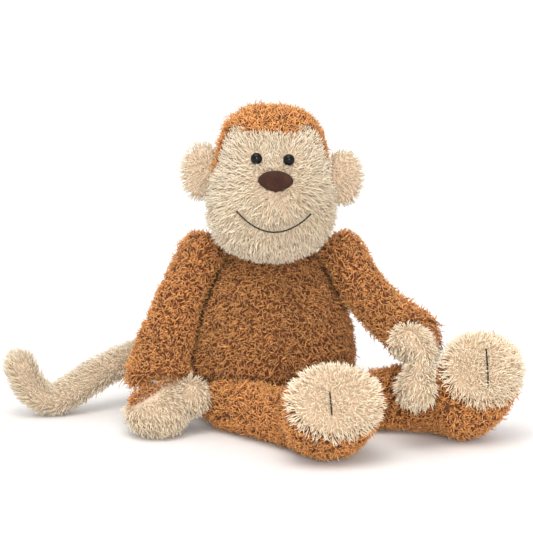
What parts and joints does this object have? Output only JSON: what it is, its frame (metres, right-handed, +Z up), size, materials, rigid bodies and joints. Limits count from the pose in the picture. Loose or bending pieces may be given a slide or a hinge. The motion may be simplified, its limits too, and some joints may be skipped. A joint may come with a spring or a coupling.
{
  "type": "stuffed monkey",
  "caption": "Seated plush monkey with curly pile, long floppy arms and legs, a round muzzle, side ears and a long tail.",
  "frame": {"origin": "middle of the flat underside of the torso, on the surface that the monkey sits on", "axes": "+Z up, -Y the way the monkey faces, +X to the monkey's own left"},
  "size_m": [0.3789, 0.2228, 0.2355],
  "materials": {
    "ginger_pile": "curly pile",
    "cream_pile": "long soft pile",
    "fibre": "loose fibre",
    "beads": "pellets in a cloth pouch",
    "suede": "brushed",
    "black_plastic": "gloss",
    "white_plastic": "moulded",
    "black_thread": "twisted thread",
    "tan_thread": "twisted thread"
  },
  "bodies": {
    "torso": {"torso_front_panel": "ginger_pile", "torso_back_panel": "ginger_pile", "torso_stuffing": "fibre", "bead_pouch": "beads"},
    "neck": {"neck_seam": "tan_thread"},
    "head": {"face_panel": "cream_pile", "head_cap": "ginger_pile", "head_stuffing": "fibre", "right_eye": "black_plastic", "left_eye": "black_plastic", "right_eye_washer": "white_plastic", "left_eye_washer": "white_plastic", "nose_patch": "suede", "mouth_thread": "black_thread"},
    "right_ear": {"right_ear": "cream_pile"},
    "left_ear": {"left_ear": "cream_pile"},
    "right_arm": {"right_sleeve": "ginger_pile", "right_arm_stuffing": "fibre"},
    "left_arm": {"left_sleeve": "ginger_pile", "left_arm_stuffing": "fibre"},
    "right_hand": {"right_hand_skin": "cream_pile", "right_hand_stuffing": "fibre"},
    "left_hand": {"left_hand_skin": "cream_pile", "left_hand_stuffing": "fibre"},
    "right_leg": {"right_leg_skin": "ginger_pile", "right_leg_stuffing": "fibre", "right_sole": "cream_pile", "right_toe_thread": "black_thread"},
    "left_leg": {"left_leg_skin": "ginger_pile", "left_leg_stuffing": "fibre", "left_sole": "cream_pile", "left_toe_thread": "black_thread"},
    "tail": {"tail_skin": "cream_pile", "tail_stuffing": "fibre"}
  },
  "joints": [
    {"name": "neck_turn", "type": "hinge", "parent": "torso", "child": "neck", "pos_m": [0, 0.012, 0.145], "axis": [0, 0, 1], "range_deg": [-20, 20], "stiffness_Nm_per_rad": 0.4},
    {"name": "neck_nod", "type": "hinge", "parent": "neck", "child": "head", "pos_m": [0, 0.012, 0.145], "axis": [1, 0, 0], "range_deg": [-15, 6], "stiffness_Nm_per_rad": 0.8},
    {"name": "right_ear_fold", "type": "hinge", "parent": "head", "child": "right_ear", "pos_m": [-0.04601, 0.005, 0.18705], "axis": [0.0436, 0, 0.999], "range_deg": [-30, 40], "stiffness_Nm_per_rad": 0.02},
    {"name": "left_ear_fold", "type": "hinge", "parent": "head", "child": "left_ear", "pos_m": [0.0465, 0.005, 0.18301], "axis": [-0.0436, 0, -0.999], "range_deg": [-30, 40], "stiffness_Nm_per_rad": 0.02},
    {"name": "right_shoulder", "type": "hinge", "parent": "torso", "child": "right_arm", "pos_m": [-0.052, 0.004, 0.126], "axis": [-1, 0, 0], "range_deg": [0, 120]},
    {"name": "left_shoulder", "type": "hinge", "parent": "torso", "child": "left_arm", "pos_m": [0.052, 0.004, 0.126], "axis": [-1, 0, 0], "range_deg": [0, 50]},
    {"name": "right_wrist", "type": "hinge", "parent": "right_arm", "child": "right_hand", "pos_m": [-0.082, -0.033, 0.034], "axis": [-1, 0, 0], "range_deg": [0, 20]},
    {"name": "left_wrist", "type": "hinge", "parent": "left_arm", "child": "left_hand", "pos_m": [0.107, -0.054, 0.069], "axis": [-1, 0, 0], "range_deg": [0, 20]},
    {"name": "right_hip", "type": "hinge", "parent": "torso", "child": "right_leg", "pos_m": [-0.033, -0.03, 0.019], "axis": [0.7071, 0.7071, 0], "range_deg": [0, 80]},
    {"name": "left_hip", "type": "hinge", "parent": "torso", "child": "left_leg", "pos_m": [0.0365, -0.028, 0.019], "axis": [0.1045, 0.9945, 0], "range_deg": [0, 80]},
    {"name": "tail_root", "type": "hinge", "parent": "torso", "child": "tail", "pos_m": [-0.008, 0.057, 0.046], "axis": [0, 0, -1], "range_deg": [0, 140]}
  ]
}
